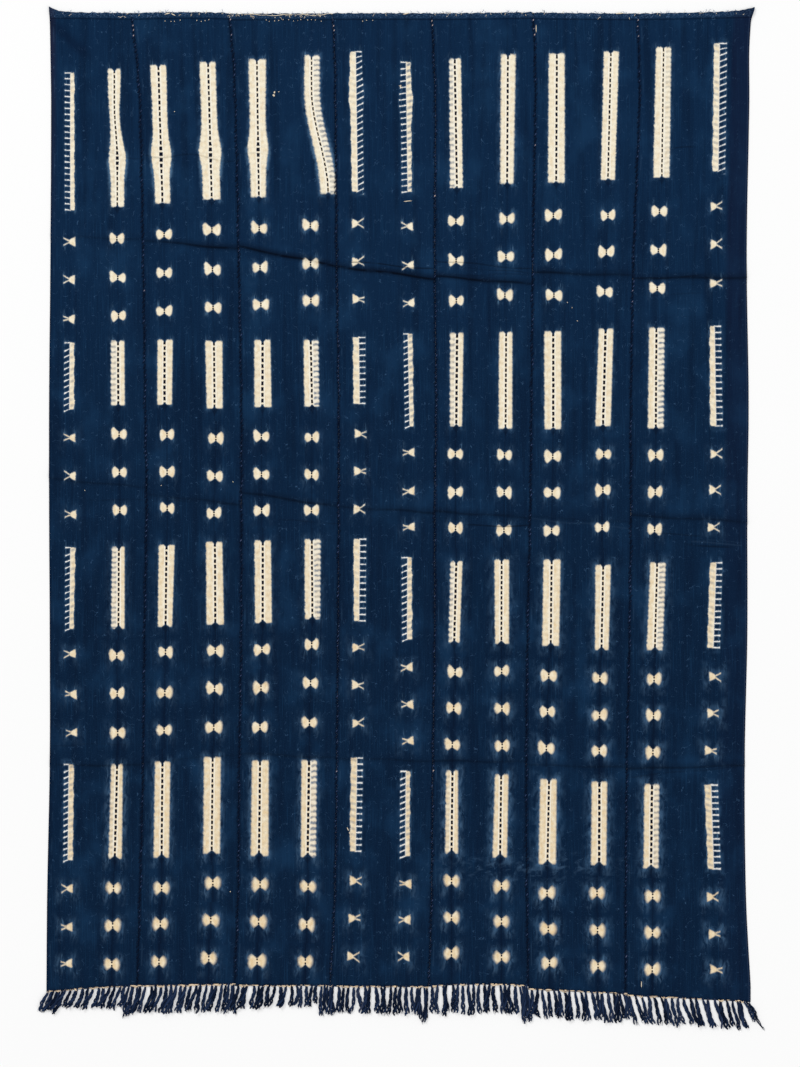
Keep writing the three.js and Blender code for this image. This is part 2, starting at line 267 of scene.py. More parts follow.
# The plan of the stitching in millimetres, with six numbers for each band: the top of its bars at the
# middle column, how much higher each next column to the right is, the bars' length, how much longer each
# next one is, the gap below the bar and the step from mark to mark. The left seven columns and the right
# seven were marked out apart.
BAND_PLANS = [
    [(696, 5, 210, 0.4, 48, 58), (273, 1, 100, 0, 45, 57),
     (-35, 2, 123, 0, 40, 59), (-366, 1, 145, 0, 45, 57)],
    [(709, 4, 196, 0, 52, 59), (288, 2, 146, 2.5, 42, 56),
     (-63, -1.5, 129, 1.5, 44, 56), (-393, -4, 127, 0, 43, 55)],
]
# Where a strip's two columns lie from its left seam to its right one, and half the width of each column.
COLUMN_SHARES = (0.215, 0.725)
HALF_WIDTHS = (8, 10, 12, 13, 13, 11.5, 9.5, 8, 9.5, 11, 13, 11.5, 11.5, 10)
# One column's first bar leans, by these millimetres at its top and its foot.
LEANING_COLUMN = 6
LEAN_AT_TOP = 8
LEAN_AT_FOOT = 31
WIDTH_FIELDS = ("left_top", "left_foot", "right_top", "right_foot")
PLACE_FIELDS = ("x_top", "x_foot", "top", "foot") + WIDTH_FIELDS
MARK_FIELDS = ("mark_first", "mark_last", "mark_1", "mark_2", "mark_3")
STYLE_FIELDS = ("style", "swell", "turn", "tone", "seed", "over", "under", "halo")
BAND = [("column", int)] + [(name, float) for name in PLACE_FIELDS + MARK_FIELDS]
MOTIF = [("column", int), ("kind", int)] + [(name, float) for name in PLACE_FIELDS + STYLE_FIELDS]
COLUMNS = 14
MARKS = 3


def band_list():
    """Every band of every column, worked out from the plan.

    Formula: a column lies at one share of the way from seam to seam at each height. Its heights are
    those of the middle column plus the slant times the columns between, and each is off by a
    millimetre or two, as hand stitching is.
    """
    hand = np.random.default_rng(41)
    bands = []
    for column in range(1, COLUMNS + 1):
        half, place = divmod(column - 1, COLUMNS // 2)
        strip, side = divmod(column - 1, 2)
        for part, (top, slant, length, longer, gap, step) in enumerate(BAND_PLANS[half]):
            away = place - 3
            top = top + slant * away + hand.normal(0, 1.5)
            foot = top - length - longer * away + hand.normal(0, 1.5)
            marks = foot - gap - step * np.arange(MARKS) + hand.normal(0, 1.0, MARKS)
            left, right = seams_beside(strip, np.array([top, foot, marks[0], marks[-1]]))
            x = left + (right - left) * COLUMN_SHARES[side] + hand.normal(0, 1.2, 4)
            if column == LEANING_COLUMN and part == 0:
                x = x + np.array([LEAN_AT_TOP, LEAN_AT_FOOT, 0, 0])
            widths = HALF_WIDTHS[column - 1] + hand.normal(0, 0.7, 4)
            bands.append((column, x[0], x[1], top, foot, *widths, x[2], x[3], *marks))
    return np.array(bands, dtype=BAND)


BANDS = band_list()
# The columns whose bars have teeth, with -1 for teeth on the left and 1 for teeth on the right.
TEETH_SIDE = {1: -1, 7: 1, 8: -1, 14: 1}
# Below 0 the ribs of a bar are on its left half, and above 0 on its right, in each of the four bands.
BAR_RIBS = {
    2: [-0.15, -0.6, -0.7, -0.25], 6: [0.7, 0.9, 0.8, 0.8],
    9: [-0.6, -0.5, -0.7, -0.2], 13: [0.25, 0.9, 0.7, 0.6],
}
# How far the teeth slant, and how strongly a comb's spine is ribbed, in each of the four bands.
TOOTH_SLOPES = {
    1: [0.1, -0.45, -0.4, -0.4], 7: [0.5, 0.05, 0, 0], 8: [-0.15, -0.4, -0.4, -0.4], 14: [0.4, 0, 0, 0],
}
SPINE_RIBS = {
    1: [0.35, 0.5, 0.6, 0.5], 7: [0.3, 0.3, 0.3, 0.5], 8: [1.0, 0.7, 0.6, 0.6], 14: [0.5, 0.3, 0.4, 0.5],
}
# How much the first bar of a column swells and narrows on its way down.
BAR_SWELLS = {2: 1.0, 3: 1.0, 4: 1.0, 5: 1.0, 7: 0.7, 8: 1.0}
# The first bar of these columns turns, from this share of its length on.
TURNING_COLUMNS = (2, 6)
TURN_FROM = 0.25
BAR, COMB, BOW, K_MARK = 1, 2, 3, 4
# How strongly the dye crept in round the motifs of each column, in each of the four bands.
HALOS = [
    (0.2, 0.2, 0.2, 0.5), (0.3, 0.3, 0.3, 0.7), (0.35, 0.3, 0.3, 0.7), (0.6, 0.4, 0.4, 0.9),
    (0.9, 0.4, 0.4, 0.9), (1.0, 0.4, 0.4, 0.7), (0.3, 0.3, 0.3, 0.5), (0.2, 0.3, 0.3, 0.5),
    (0.3, 0.4, 0.4, 0.8), (0.9, 0.5, 0.5, 0.9), (0.5, 0.6, 0.6, 1.0), (0.4, 0.5, 0.6, 0.9),
    (0.5, 0.6, 0.7, 0.9), (0.4, 0.4, 0.5, 0.7),
]


def motif_list():
    """Every bar, comb, bow and K mark of the cloth, with its place, size and style."""
    motifs = []
    for number, band in enumerate(BANDS):
        column = int(band["column"])
        part = number % len(BAND_PLANS[0])
        comb = column in TEETH_SIDE
        style = TOOTH_SLOPES[column][part] if comb else BAR_RIBS.get(column, [0] * 4)[part]
        swell = BAR_SWELLS.get(column, 0.0) * (part == 0)
        turn = TURN_FROM if part == 0 and column in TURNING_COLUMNS else 0.0
        kind = COMB if comb else BAR
        tone = 0.05 + 0.12 * part
        widths = tuple(band[name] for name in WIDTH_FIELDS)
        halo = HALOS[column - 1][part]
        top_notch = chance.uniform(1.5, 4.5) if part == 0 else chance.uniform(3.0, 5.5)
        foot_notch = SPINE_RIBS[column][part] if comb else chance.uniform(1.8, 3.3) + 1.2 * part
        motifs.append((column, kind, band["x_top"], band["x_foot"], band["top"], band["foot"], *widths,
                       style, swell, turn, tone, chance.random(), top_notch, foot_notch, halo))
        half_wide = max(12.0, (band["left_foot"] + band["right_foot"]) / 2) * (1 - 0.035 * part)
        for place in range(MARKS):
            x = band["mark_first"] + (band["mark_last"] - band["mark_first"]) * place / 2
            y = band["mark_%d" % (place + 1)]
            tall = chance.uniform(13.5, 15.5) if comb else half_wide * 0.45 + chance.uniform(11.2, 13.2)
            left = chance.uniform(8.4, 9.4) if comb else half_wide * chance.uniform(0.87, 0.97)
            right = chance.uniform(7.8, 9.0) if comb else half_wide * chance.uniform(0.87, 0.97)
            tilt = chance.uniform(-0.12, 0.12)
            flare_over = chance.uniform(-0.05, 0.28) * (1.2 - 0.25 * part)
            flare_under = chance.uniform(-0.15, 0.1 + 0.08 * part)
            motifs.append((column, K_MARK if comb else BOW, x, x, y + tall / 2, y - tall / 2, left, left,
                           right, right, tilt, 0, 0, tone + 0.1 * chance.random(), chance.random(),
                           flare_over, flare_under, halo))
    return np.array(motifs, dtype=MOTIF)


MOTIFS = motif_list()


def points_in_mm(mesh):
    """The points of a mesh in millimetres, one row for each."""
    points = np.empty(len(mesh.vertices) * 3, np.float32)
    mesh.vertices.foreach_get("co", points)
    return points.reshape(-1, 3) / MM


def draw_pattern(piece, strip):
    """Gives each face corner its place in the nearest motif of its column.

    "place" is (across, down from the motif's top, length), "widths" is (left, right, kind) and "finish"
    is (style, tone, seed). Across is measured from the motif's own centre line, and towards the teeth
    in combs and K marks. "detail" is the depth of the notch at the top and foot of a bar, or how much the
    wings of a bow flare above and below, and then how far the dye crept in. The material draws the
    motifs from these.
    """
    mesh = piece.data
    points = points_in_mm(mesh)
    corner = np.empty(len(mesh.loops), np.int32)
    mesh.loops.foreach_get("vertex_index", corner)
    start = np.empty(len(mesh.polygons), np.int32)
    mesh.polygons.foreach_get("loop_start", start)
    face_of_corner = np.repeat(np.arange(len(start)), np.diff(np.append(start, len(corner))))
    x = points[corner, 0]
    y = points[corner, 1]
    middle_x = np.add.reduceat(x, start) / np.bincount(face_of_corner)
    middle_y = np.add.reduceat(y, start) / np.bincount(face_of_corner)
    left_seam, right_seam = seams_beside(strip, middle_y)
    on_right = middle_x > (left_seam + right_seam) / 2
    chosen = np.zeros(len(start), int)
    for side in (0, 1):
        own = np.flatnonzero(MOTIFS["column"] == 2 * strip + 1 + side)
        faces = np.flatnonzero(on_right == bool(side))
        height = middle_y[faces, None]
        away = np.maximum(height - MOTIFS["top"][own], MOTIFS["foot"][own] - height)
        chosen[faces] = own[np.argmin(away, axis=1)]
    motif = MOTIFS[chosen[face_of_corner]]
    length = motif["top"] - motif["foot"]
    down = motif["top"] - y
    share = np.clip(down / length, 0, 1)
    second = motif["column"] == 2
    path = ease(share, motif["turn"], np.where(second, 0.65, 1.0))
    path = np.where(motif["turn"] > 0, path, share)
    centre = motif["x_top"] + (motif["x_foot"] - motif["x_top"]) * path
    side = np.array([TEETH_SIDE.get(column, 1) for column in range(COLUMNS + 1)])[motif["column"]]
    across = (x - centre) * side
    waist = np.where(second, 0.24, 0.05)
    bar_shape = 1 + motif["swell"] * (0.3 * hump(share, 0.65, 0.1) - waist * hump(share, 0.36, 0.17))
    comb_shape = 1 + motif["swell"] * 0.34 * hump(share, 0.3, 0.11)
    shape = np.where(motif["kind"] == COMB, comb_shape, bar_shape)
    left = (motif["left_top"] + (motif["left_foot"] - motif["left_top"]) * share) * shape
    right = (motif["right_top"] + (motif["right_foot"] - motif["right_top"]) * share) * shape
    tables = {
        "place": (across, down, length),
        "widths": (left, right, motif["kind"]),
        "finish": (motif["style"], motif["tone"], motif["seed"]),
        "detail": (motif["over"], motif["under"], motif["halo"]),
    }
    for name, values in tables.items():
        layer = mesh.attributes.new(name, "FLOAT_VECTOR", "CORNER")
        layer.data.foreach_set("vector", np.stack(values, -1).astype(np.float32).reshape(-1))


# Faint creases as (strip, left height, right height, from, to, strength), with from and to across the
# strip. The strength is that of a painted dark line, and below 0 it is a painted pale line of light.
FAINT_CREASES = [
    (3, 394, 381, 0.1, 1, 0.6), (4, 394, 381, 0, 1, 0.45), (4, 372, 373, 0, 1, 0.2),
    (6, 366, 375, 0, 0.6, 0.5), (6, 342, 345, 0.1, 0.6, 0.15), (0, 32, 30, 0.4, 1, 0.2),
    (1, 30, 24, 0.2, 0.95, 0.2),
    (2, 3, -5, 0.4, 1, 0.25), (4, -8, -9, 0.35, 1, 0.6), (5, 2, -12, 0, 1, -0.04),
    (6, -20, -26, 0.2, 0.6, 0.35), (6, -29, -38, 0.5, 1, -0.06), (6, -33, -42, 0.5, 1, 0.5),
    (0, 562, 552, 0.55, 1, 0.25), (1, 556, 548, 0, 1, 0.3), (2, 553, 556, 0, 0.5, 0.12),
    (0, -342, -340, 0, 0.8, 0.15), (6, 563, 563, 0.3, 0.5, 0.4), (6, -391, -373, 0, 1, 0.25),
]


def store(piece, name, values):
    """Stores three numbers for each point of a piece under a name."""
    layer = piece.data.attributes.new(name, "FLOAT_VECTOR", "POINT")
    layer.data.foreach_set("vector", np.stack(values, -1).astype(np.float32).reshape(-1))


# A distance at which no crease shows any more, in millimetres.
FAR = 60.0


def draw_creases(piece, strip, across):
    """Gives each point its distances to the lines that cross the strip.

    "crease" is (height above the nearest sharp crease, the strength of its painted shade, distance from the
    left seam), "faint" is (height above the nearest faint crease, the strength of its painted dark line,
    which below 0 is a painted pale line of light, distance from the top edge).
    """
    x, y, _ = points_in_mm(piece.data).T
    u = np.concatenate([across.reshape(-1)] * 2)
    near = np.full(len(y), FAR)
    dark = np.zeros(len(y))
    for row in CREASES:
        away = y - crease_height(row[strip], u)
        closer = np.abs(away) < np.abs(near)
        near = np.where(closer, away, near)
        dark = np.where(closer, bowed(row[strip][3:], u), dark)
    faint = np.full(len(y), FAR)
    strength = np.zeros(len(y))
    for own, left_y, right_y, begin, end, force in FAINT_CREASES:
        if own == strip:
            wave = 4.0 if left_y > 540 else 1.2
            away = y - (left_y + (right_y - left_y) * u + wave * np.sin(9 * u + left_y))
            closer = np.abs(away) < np.abs(faint)
            faint = np.where(closer, away, faint)
            shown = force * ease(u, begin - 0.06, begin + 0.06) * (1 - ease(u, end - 0.06, end + 0.06))
            strength = np.where(closer, shown, strength)
    left, right = seams_beside(strip, y)
    store(piece, "crease", (near, np.clip(dark, 0, 1), x - left))
    store(piece, "faint", (faint, strength, bowed(STRIP_TOPS[strip], u) - y))
    store(piece, "side", (right - x, right - x, right - x))


# The indigo cloth, drawn as a material
# Deep navy, a little lighter at the top, with streaks along the warp where the hand-spun yarn took the
# dye unevenly. The kept-out motifs are cream with a soft blue rim. Two columns of dark holes and short
# dashes show where the raffia went through.


def feed(tree, socket, value):
    """Gives a socket its value: a link from an Amount or another socket, or a plain number or colour."""
    if isinstance(value, Amount):
        tree.links.new(value.socket, socket)
    elif isinstance(value, bpy.types.NodeSocket):
        tree.links.new(value, socket)
    else:
        socket.default_value = value


class Amount:
    """A number inside a material, so that a formula can be written with + - * and /."""

    def __init__(self, tree, socket):
        self.tree = tree
        self.socket = socket

    def work(self, operation, *others):
        """The result of one of the Math node's operations on this number and the others."""
        node = self.tree.nodes.new("ShaderNodeMath")
        node.operation = operation
        for slot, value in enumerate((self, *others)):
            feed(self.tree, node.inputs[slot], value)
        return Amount(self.tree, node.outputs[0])

    def __add__(self, other):
        return self.work("ADD", other)

    __radd__ = __add__

    def __sub__(self, other):
        return self.work("SUBTRACT", other)

    def __rsub__(self, other):
        return self.work("MULTIPLY", -1.0).work("ADD", other)

    def __mul__(self, other):
        return self.work("MULTIPLY", other)

    __rmul__ = __mul__

    def __truediv__(self, other):
        return self.work("DIVIDE", other)

    def size(self):
        """Its size without its sign."""
        return self.work("ABSOLUTE")

    def least(self, other):
        """The lesser of the two."""
        return self.work("MINIMUM", other)

    def most(self, other):
        """The greater of the two."""
        return self.work("MAXIMUM", other)

    def step(self, start, end):
        """0 up to start, 1 from end on, and smooth between."""
        node = self.tree.nodes.new("ShaderNodeMapRange")
        node.interpolation_type = "SMOOTHSTEP"
        for slot, value in (("Value", self), ("From Min", start), ("From Max", end)):
            feed(self.tree, node.inputs[slot], value)
        return Amount(self.tree, node.outputs["Result"])

    def near(self, value, reach):
        """1 at that value, and 0 at reach from it or further."""
        return 1.0 - (self - value).size().step(0.0, reach)


def attribute(tree, name):
    """The three numbers of a piece's own attribute."""
    node = tree.nodes.new("ShaderNodeAttribute")
    node.attribute_name = name
    parts = tree.nodes.new("ShaderNodeSeparateXYZ")
    tree.links.new(node.outputs["Vector"], parts.inputs[0])
    return [Amount(tree, parts.outputs[k]) for k in range(3)]


def place_in_mm(tree):
    """Object coordinates in millimetres."""
    node = tree.nodes.new("ShaderNodeTexCoord")
    parts = tree.nodes.new("ShaderNodeSeparateXYZ")
    tree.links.new(node.outputs["Object"], parts.inputs[0])
    return [Amount(tree, parts.outputs[k]) * 1000.0 for k in range(3)]


def noise(tree, x, y, z, detail=2.0):
    """Soft noise from 0 to 1 at that place, in lengths of about one grain."""
    join = tree.nodes.new("ShaderNodeCombineXYZ")
    for slot, value in enumerate((x, y, z)):
        feed(tree, join.inputs[slot], value)
    node = tree.nodes.new("ShaderNodeTexNoise")
    node.inputs["Scale"].default_value = 1.0
    node.inputs["Detail"].default_value = detail
    tree.links.new(join.outputs[0], node.inputs["Vector"])
    return Amount(tree, node.outputs[0])


def linear(red, green, blue):
    """The light of a colour given as screen values from 0 to 255."""
    screen = np.array([red, green, blue]) / 255
    return (*np.where(screen <= 0.04045, screen / 12.92, ((screen + 0.055) / 1.055) ** 2.4), 1.0)


def mix(share, first, second):
    """A colour that goes from first to second as share goes from 0 to 1."""
    node = share.tree.nodes.new("ShaderNodeMix")
    node.data_type = "RGBA"
    sockets = {socket.identifier: socket for socket in node.inputs}
    feed(share.tree, sockets["Factor_Float"], share)
    feed(share.tree, sockets["A_Color"], first)
    feed(share.tree, sockets["B_Color"], second)
    return next(socket for socket in node.outputs if socket.identifier == "Result_Color")


def stain(colour, share, red, green, blue):
    """The colour with that share of it covered by another, given as screen values from 0 to 255."""
    return mix(share, colour, linear(red, green, blue))


def new_material(name, roughness):
    """A material with its maths tree, its shader and that roughness."""
    material = bpy.data.materials.new(name)
    material.use_nodes = True
    shader = material.node_tree.nodes["Principled BSDF"]
    shader.inputs["Roughness"].default_value = roughness
    shader.inputs["Specular IOR Level"].default_value = 0.05
    return material, material.node_tree, shader


def add_bump(tree, shader, height, strength, distance):
    """Lets the light fall as if the surface followed a height, of which 1 is that distance in metres."""
    bump = tree.nodes.new("ShaderNodeBump")
    bump.inputs["Strength"].default_value = strength
    bump.inputs["Distance"].default_value = distance
    tree.links.new(height.socket, bump.inputs["Height"])
    tree.links.new(bump.outputs[0], shader.inputs["Normal"])


def bar_edge(across, down, length, left, right, style, tone, over, under, pitch):
    """How far inside the edge of a bar, in millimetres.

    Formula: the least of the distances to its two sides, scalloped by |sin(pi down / pitch)| and more so on
    the ribbed half, and to its two ends, each with a notch at the middle. The corners are rounded.
    """
    reach = across.size()
    late = tone.step(0.13, 0.4)
    ribbed = (style.work("SIGN") * across).step(0.0, 1.0) * style.size()
    scallop = (down * np.pi / pitch).work("SINE").size() * (0.35 + 1.1 * ribbed)
    side = (left + across).least(right - across) + scallop - 1.1
    top_end = down - (1.0 - reach / 4.2).most(0.0) * over
    foot_end = length - down - (1.0 - reach / (3.6 + 3.4 * late)).most(0.0) * under
    return side.work("SMOOTH_MIN", top_end.least(foot_end), 4.2) + 0.2


def comb_edge(across, down, length, left, right, style, seed, tooth_pitch):
    """How far inside the edge of a comb, in millimetres.

    Formula: the most of the distances inside its spine, a band with a slow wave along one side, and into its
    teeth, thin slanting lines one pitch apart that end in a knob.
    """
    slant = style * down.step(0.0, 12.0)
    from_tooth = ((down + slant * across) / tooth_pitch + 0.5).work("FRACT") - 0.5
    from_tooth = from_tooth.size() * tooth_pitch
    knob = across.near(right - 1.0, 1.8) * 0.3
    tooth_edge = (right - across - 0.4).least(0.62 + knob - from_tooth).least(across + 1.5)
    tooth_edge = tooth_edge.least(down + 4.0).least(length - down + 4.0)
    bulge = (down * 0.21 + seed * 9.0).work("SINE") * 0.5
    spine = (left - 1.3 + across + bulge).least(0.1 - across)
    return spine.work("SMOOTH_MIN", down.least(length - down), 3.0).most(tooth_edge)


def bow_edge(across, height, half, right, tone, seed, over, under):
    """How far inside the edge of a bow, in millimetres.

    Formula: its wings widen from a waist w to full as w + (1 - w) (out / full at)^0.9, with out from 0
    to 1 to each side, and end in a tip. The corners are rounded, and later bands have rounder ones.
    """
    reach = across.size()
    out = reach / right
    upper = height.step(1.0, -1.0)
    waist = 0.2 + 0.16 * tone
    full_at = 0.82 - 0.4 * tone
    flare = (waist + (1.0 - waist) * (out / full_at).work("POWER", 0.9)).work("SMOOTH_MIN", 1.0, 0.4)
    spread = 1.0 + out.step(0.4, 1.0) * (upper * over + (1.0 - upper) * under)
    spread = spread * (1.0 + across / right * (seed - 0.5) * 0.35) * (1.0 - 0.3 * out.step(0.6, 1.15))
    wing = half * flare * spread - height.size()
    tip = right * (1.0 - height / half * 0.05) - reach
    corner = 6.0 + 13.0 * tone
    return wing.work("SMOOTH_MIN", tip, corner) + corner * 0.09 - 0.5


def k_mark_edge(across, height, half, left, right, seed):
    """How far inside the edge of a K mark, in millimetres.

    Formula: the most of the distances inside its lobe, a wing that widens by the power 0.7, and into its two
    arms, thin lines that part from the middle on the other side.
    """
    flare = half * (0.36 + 0.64 * ((0.0 - across) / left).most(0.0).work("POWER", 0.7))
    lobe = (left + across).work("SMOOTH_MIN", flare - height.size(), 3.0).least(0.8 - across) - 0.4
    arm_line = (height.size() - (0.3 + 0.4 * seed) * (across + 1.5)).size()
    arm = (right - across).least(0.75 - arm_line).least(across + 2.5)
    return lobe.most(arm)


def motif_edge(across, down, length, left, right, kind, style, tone, seed, over, under, pitch, tooth_pitch):
    """How far inside the edge of a motif, whichever its kind: more than 0 is cream, less is dyed."""
    half = length * 0.5
    height = down - half + across * style
    edges = {
        BAR: bar_edge(across, down, length, left, right, style, tone, over, under, pitch),
        COMB: comb_edge(across, down, length, left, right, style, seed, tooth_pitch),
        BOW: bow_edge(across, height, half, right, tone, seed, over, under),
        K_MARK: k_mark_edge(across, height, half, left, right, seed),
    }
    return sum(edge * kind.work("COMPARE", own, 0.4) for own, edge in edges.items())


WEAVE_REPEAT = 0.95


def indigo_cloth():
    """The dyed cloth with its kept-out pattern."""
    material, tree, shader = new_material("indigo dyed strip weave", 0.95)
    x, y, _ = place_in_mm(tree)
    across, down, length = attribute(tree, "place")
    left, right, kind = attribute(tree, "widths")
    style, tone, seed = attribute(tree, "finish")
    over, under, halo = attribute(tree, "detail")
    crease, crease_shade, from_left = attribute(tree, "crease")
    faint, faint_shade_and_light, from_top = attribute(tree, "faint")
    from_right = attribute(tree, "side")[0]
    is_bar = kind.work("COMPARE", BAR, 0.4)
    is_comb = kind.work("COMPARE", COMB, 0.4)
    is_bow = kind.work("COMPARE", BOW, 0.4)
    half = length * 0.5

    wander = noise(tree, x / 5.0, y / 5.0, seed * 9.0) - 0.5
    thread = noise(tree, x / 1.3, y / 1.3, seed * 5.0) - 0.5
    pitch = 7.6 + 1.2 * seed
    tooth_pitch = length / (length / 9.2).work("ROUND")
    edge = motif_edge(across + wander * 1.4, down + thread * 1.6, length, left, right, kind, style,
                      tone, seed, over, under, pitch, tooth_pitch)
    rough = noise(tree, x / 3.0, y / 4.0, 87.0) - 0.5
    edge = edge + wander * 1.6 + thread * 1.2 + rough * 2.4 * is_bar * (1.0 - tone.step(0.1, 0.18))
    outer = (across.size() / right).step(0.35, 0.9) * is_bow * tone.step(0.25, 0.45)
    all_dye = -0.8 - 1.2 * halo - 1.6 * outer + 0.4 * is_comb
    all_cream = 1.0 + 0.4 * halo + 1.0 * outer - 0.4 * is_comb
    cream = edge.step(all_dye, all_cream)
    soft = noise(tree, x / 11.0, y / 18.0, 3.0)
    rim = edge.step(-2.6, 0.2) * 0.55
    first_band = (1.0 - tone.step(0.1, 0.18)) * is_bar
    wide_rim = edge.step(-8.5, 0.0) * (soft + halo * 0.12).step(0.5, 0.72) * halo
    swollen = (down / length).near(0.74, 0.27) * first_band * soft.step(0.3, 0.55)
    swollen = swollen * edge.step(-6.5, 0.5) * x.step(60.0, -60.0)

    # The dyed ground: streaks, clouds and lint, and the dye that crept along the motifs
    streak = noise(tree, x / 1.4, y / 60.0, 1.0, 4.0)
    broad = noise(tree, x / 14.0, y / 260.0, 7.0, 3.0)
    cloud = noise(tree, x / 50.0, y / 70.0, 11.0, 4.0)
    grain = noise(tree, x / 1.6, y / 1.6, 13.0, 2.0)
    lint_place = noise(tree, x / 8.0, y / 11.0, 15.0, 1.0)
    lint = lint_place.near(0.52, 0.014) * noise(tree, x / 9.0, y / 9.0, 17.0, 1.0).step(0.55, 0.63)
    bleed = noise(tree, x / 1.8, y / 14.0, 21.0, 3.0).step(0.46, 0.7)
    at_corner = (across.size() / right).near(0.82, 0.42)
    close = down.step(-13.0, 1.0) * (1.0 - (down - length).step(-1.0, 9.0))
    bleed = bleed * at_corner * close * (0.35 + 0.65 * halo)

    low_down = y.step(650.0, -250.0)
    ground = mix(low_down, linear(11, 37, 66), linear(8, 30, 55))
    ground = stain(ground, streak.step(0.5, 0.8) * 0.38, 30, 68, 104)
    ground = stain(ground, broad.step(0.45, 0.7) * 0.5, 5, 20, 42)
    ground = stain(ground, cloud.step(0.48, 0.75) * 0.45, 24, 58, 92)
    ground = stain(ground, grain.step(0.45, 0.8) * 0.3, 28, 58, 90)
    ground = stain(ground, lint * 0.5, 64, 98, 134)
    right_band = (from_right + y / 90.0).step(40.0, 31.0) * x.step(400.0, 450.0)
    ground = stain(ground, right_band * (0.5 - 0.35 * low_down), 16, 20, 44)
    selvedge_line = from_right.near(2.6, 1.2) * x.step(400.0, 450.0)
    ground = stain(ground, selvedge_line * 0.3, 70, 88, 120)
    left_band = x.step(-522.0, -534.0) * y.step(300.0, 760.0)
    ground = stain(ground, left_band * 0.5, 44, 38, 58)
    # Painted shade of a soft fold running diagonally across the top left corner.
    corner_fold_shade = ((x + 502.0) * 0.94 + y - 727.0).near(0.0, 19.0)
    corner_fold_shade = corner_fold_shade * x.step(-455.0, -485.0) * y.step(690.0, 715.0)
    ground = stain(ground, corner_fold_shade * 0.5, 6, 20, 44)
    ground = stain(ground, bleed * 0.8, 96, 134, 166)
    ground = stain(ground, wide_rim * 0.5, 60, 96, 132)
    ground = stain(ground, swollen * 0.75, 92, 128, 160)
    ground = stain(ground, rim, 70, 104, 136)

    # Stray dye under and beside the motifs, and painted shade along the folds that run through them
    below = down - length
    arrow = is_bar * below.step(-0.5, 1.5) * (1.0 - (across.size() + below * 0.6).step(5.0, 8.0))
    ground = stain(ground, arrow * 0.5 * (1.0 - cream), 5, 16, 36)
    # Painted shade: a thin dark line on the fold down the middle of bars and bows, stronger lower down.
    centre_fold_shade = across.size().step(1.8, 0.4) * is_bar.most(is_bow)
    late = tone.step(0.14, 0.4)
    swirl = noise(tree, x / 22.0, y / 22.0, 95.0, 2.0)
    smoke = noise(tree, x / 4.0 + swirl * 3.0, y / 13.0 + swirl * 2.0, 91.0, 3.0).step(0.42, 0.66)
    smoke = smoke * across.size().near(11.5, 9.5)
    smoke = smoke * down.step(-12.0, 2.0) * (1.0 - below.step(-2.0, 26.0)) * halo * (0.25 + 0.75 * late)
    ground = stain(ground, smoke * 0.65 * (1.0 - is_comb), 78, 108, 138)
    veil = noise(tree, x / 9.0 + swirl * 1.5, y / 18.0 + swirl, 103.0, 3.0).step(0.4, 0.68)
    veil = veil * edge.step(-18.0, -1.0) * late * (1.0 - is_comb) * (0.4 + 0.6 * x.step(60.0, 140.0))
    ground = stain(ground, veil * 0.5, 62, 94, 126)
    wisps = noise(tree, x / 13.0 + swirl * 1.5, y / 8.0 + swirl * 1.5, 97.0, 4.0).step(0.48, 0.74)
    wisps = wisps * y.near(-528.0, 34.0) * x.near(200.0, 210.0)
    ground = stain(ground, wisps * 0.42, 74, 106, 138)
    # Painted shade: a broad dark band along the middle of the column in the later bands.
    column_valley_shade = across.size().step(9.0, 1.0) * is_bar.most(is_bow) * late
    ground = stain(ground, column_valley_shade * 0.4, 5, 18, 40)
    ground = stain(ground, centre_fold_shade * (0.15 + 0.25 * low_down), 5, 16, 36)

    # The cream of the motifs, with its ribs, dashes and stitch holes
    mottle = noise(tree, x / 5.0, y / 9.0, 31.0, 4.0)
    pale = mix(tone * 1.3 + (mottle - 0.45) * 2.0, linear(249, 239, 214), linear(230, 204, 162))
    dash_turn = (down + 0.12 * across + wander * 5.0) * 2.0 * np.pi / pitch
    between_dashes = (dash_turn.work("COSINE") + 1.0) * 0.5
    between_teeth = (1.0 - ((down - 0.3 * across) * 2.0 * np.pi / tooth_pitch).work("COSINE")) * 0.5
    patchy = noise(tree, x / 18.0, y / 26.0, 35.0, 2.0).step(0.3, 0.6)
    ribbed_side = (style.work("SIGN") * across).step(1.5, 3.5) * style.size() * is_bar
    # Painted shade between the puckered lobes: grey-blue bands across the ribbed half of a bar and along a
    # comb's spine.
    rib_shade = (ribbed_side * (0.35 + 0.65 * patchy) + is_bar * 0.1) * between_dashes.step(0.15, 1.0)
    on_spine = across.near(left * -0.5, left * 0.95) * is_comb * under
    rib_shade = rib_shade + on_spine * (0.4 + 0.6 * patchy) * between_teeth.step(0.2, 1.0)
    pale = stain(pale, rib_shade * (0.45 + mottle), 112, 126, 144)
    # Painted highlight on the rounded lobes between those bands.
    pale = stain(pale, ribbed_side * (1.0 - between_dashes) * 0.5, 244, 243, 236)
    pale = stain(pale, across.size().near(2.7, 1.7) * is_bar * 0.7, 250, 247, 236)
    pale = stain(pale, across.step(-1.2, 0.6) * is_comb * 0.9, 252, 250, 244)
    dash_at = ((down / pitch).work("FRACT") - 0.5).size()
    knot = (down / length).near(0.66, 0.12) * first_band * x.step(-120.0, -160.0)
    dash = (0.35 - dash_at).step(-0.03, 0.05) * is_bar
    thickness = 1.4 + 0.5 * seed - 0.3 * first_band + 1.2 * knot
    dash = dash * (thickness - (across + wander * 1.6).size()).step(-0.3, 0.3)
    dot_height = (down - half).size() - 1.4 - 2.2 * tone
    dots = (dot_height * dot_height + across * across).work("SQRT").step(1.75, 1.0) * is_bow
    pale = stain(pale, dash.most(dots), 10, 15, 32)
    colour = mix(cream, ground, pale)

